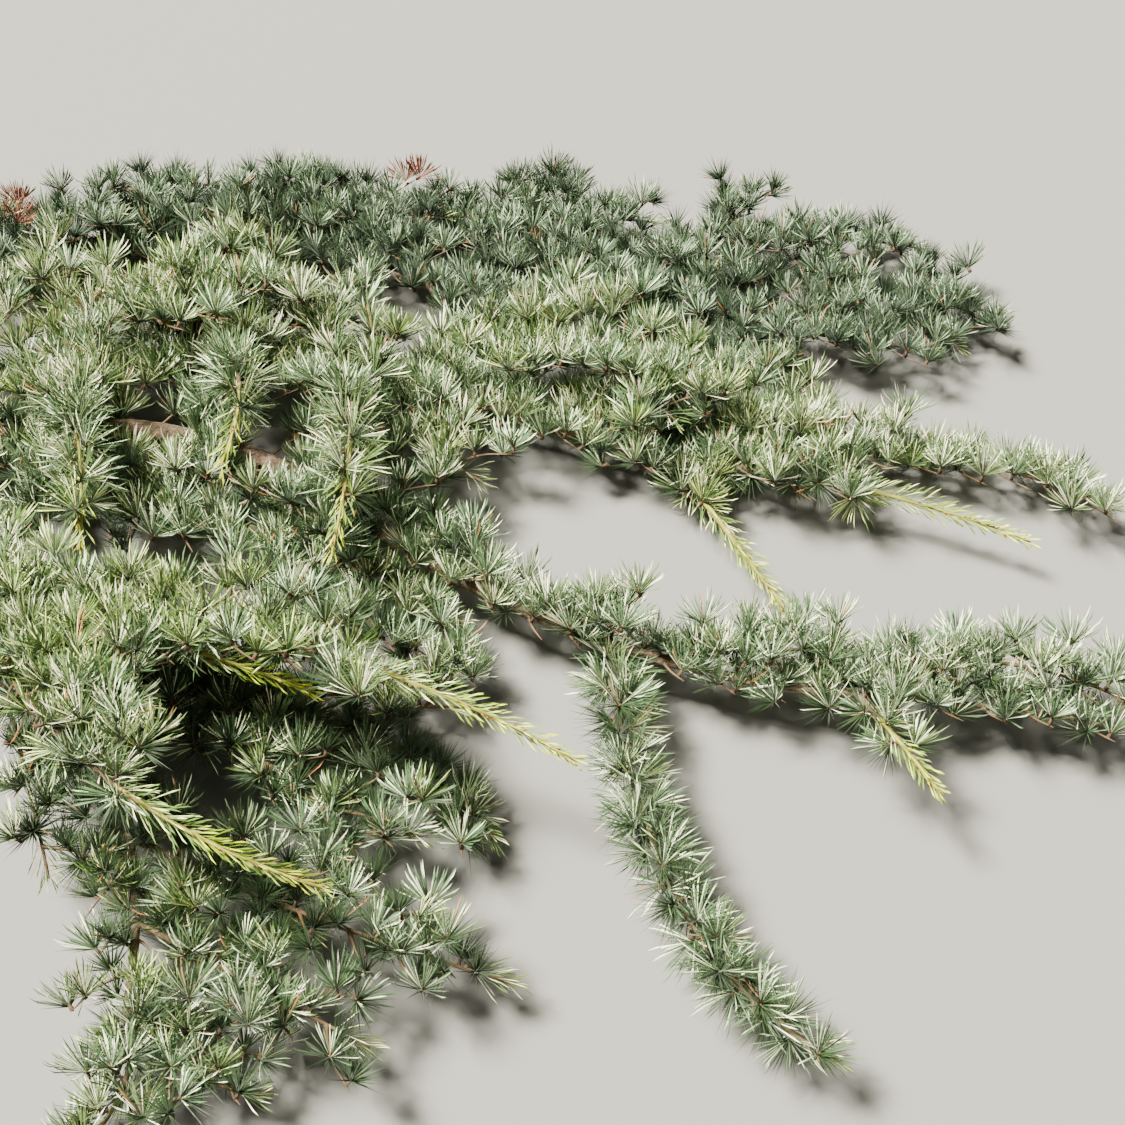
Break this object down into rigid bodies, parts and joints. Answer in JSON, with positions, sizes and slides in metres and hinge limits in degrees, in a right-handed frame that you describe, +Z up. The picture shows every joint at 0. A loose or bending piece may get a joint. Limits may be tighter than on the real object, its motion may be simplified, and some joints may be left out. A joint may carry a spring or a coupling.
{
  "type": "cut cedar bough",
  "caption": "Cut bough of a blue cedar lying on the ground: a sawn limb that forks into tapering boughs, with long drooping sprays of short needles in whorls.",
  "frame": {"origin": "on the floor, under the middle of the bough's box", "axes": "+X along the bough from the sawn end to the tips, +Z up from the floor it lies on, +Y towards the side that grew uppermost"},
  "size_m": [1.0405, 0.7626, 0.1543],
  "materials": {
    "bark": "rough grey-brown bark",
    "foliage": "matt blue-green needles with a pale bloom",
    "fresh_foliage": "matt yellow-green needles of this year's shoots"
  },
  "bodies": {
    "root": {"sawn_limb": "bark", "middle_bough_inner": "bark", "middle_bough_outer": "bark", "upper_bough_inner": "bark", "upper_bough_outer": "bark", "back_bough_inner": "bark", "back_bough_outer": "bark", "lower_bough_inner": "bark", "lower_bough_outer": "bark", "front_bough": "bark", "small_bough": "bark", "sawn_spray_2": "foliage", "sawn_spray_1": "foliage", "sawn_spray_3": "foliage", "middle_spray_dark": "foliage", "middle_spray_1": "foliage", "middle_spray_2": "foliage", "middle_spray_hanging": "foliage", "middle_spray_4": "foliage", "middle_spray_5": "foliage", "middle_spray_6": "fresh_foliage", "middle_spray_tip": "foliage", "upper_spray_left": "foliage", "upper_spray_2": "foliage", "nodding_spray_3": "foliage", "upper_spray_3": "foliage", "nodding_spray_1": "foliage", "nodding_spray_2": "foliage", "upper_spray_droop": "foliage", "upper_spray_4": "foliage", "upper_spray_5": "foliage", "upper_spray_low": "foliage", "upper_spray_hanging": "fresh_foliage", "upper_spray_tip": "foliage", "back_spray_root": "foliage", "back_spray_1": "foliage", "back_spray_2": "foliage", "back_spray_3": "foliage", "back_spray_4": "foliage", "back_spray_5": "foliage", "back_spray_6": "foliage", "back_spray_10": "foliage", "back_spray_7": "foliage", "back_spray_9": "foliage", "back_spray_tip": "foliage", "lower_spray_6": "foliage", "lower_spray_under": "foliage", "lower_spray_7": "foliage", "lower_spray_1": "foliage", "lower_spray_2": "foliage", "lower_spray_3": "foliage", "lower_spray_5": "foliage", "lower_spray_tip": "foliage", "front_spray_3": "foliage", "front_spray_4": "foliage", "front_spray_1": "foliage", "front_spray_tip": "foliage", "small_spray_tip": "foliage"}
  },
  "joints": []
}
